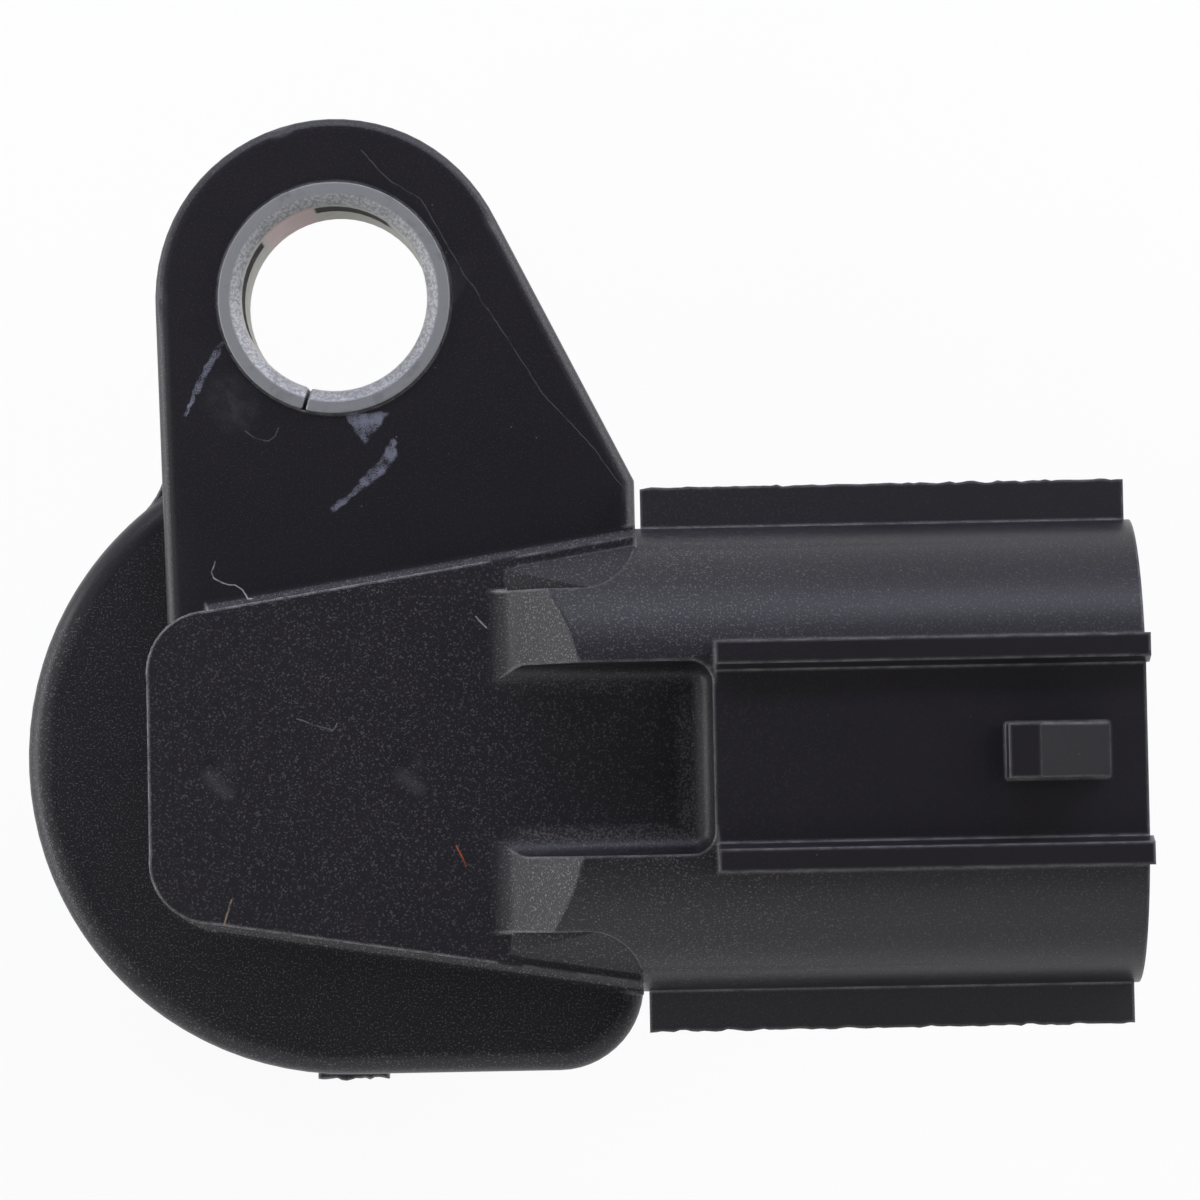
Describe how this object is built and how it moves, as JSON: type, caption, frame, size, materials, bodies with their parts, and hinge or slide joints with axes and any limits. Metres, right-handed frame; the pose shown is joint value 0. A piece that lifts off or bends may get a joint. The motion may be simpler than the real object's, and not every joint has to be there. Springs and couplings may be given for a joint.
{
  "type": "crankshaft position sensor",
  "caption": "Black moulded sensor body with a sealed round barrel, a bolt ear with a steel bush and a keyed plug socket; it senses a toothed wheel on a crankshaft.",
  "frame": {"origin": "on the barrel's axis in the plane of the flange's seat on the engine", "axes": "+Z along the barrel away from the engine, +X along the plug socket, +Y towards the bolt ear"},
  "size_m": [0.04, 0.0349, 0.038],
  "materials": {
    "housing_plastic": "black moulded plastic, partly grained",
    "bush_steel": "zinc-plated rolled steel",
    "seal_rubber": "smooth black rubber",
    "cup_plastic": "dark moulded plastic",
    "carrier_plastic": "natural moulded plastic",
    "magnet_alloy": "sintered",
    "pole_steel": "stamped",
    "chip_epoxy": "moulded epoxy",
    "lead_alloy": "tinned copper alloy",
    "terminal_alloy": "tinned copper alloy strip",
    "capacitor_ceramic": "ceramic with tinned ends"
  },
  "bodies": {
    "root": {"housing": "housing_plastic", "mounting_bush": "bush_steel", "o_ring": "seal_rubber", "sensor_cup": "cup_plastic", "carrier": "carrier_plastic", "magnet": "magnet_alloy", "pole_plate": "pole_steel", "hall_chip": "chip_epoxy", "supply_lead": "lead_alloy", "signal_lead": "lead_alloy", "ground_lead": "lead_alloy", "supply_terminal": "terminal_alloy", "signal_terminal": "terminal_alloy", "ground_terminal": "terminal_alloy", "supply_capacitor": "capacitor_ceramic", "signal_capacitor": "capacitor_ceramic"}
  },
  "joints": []
}
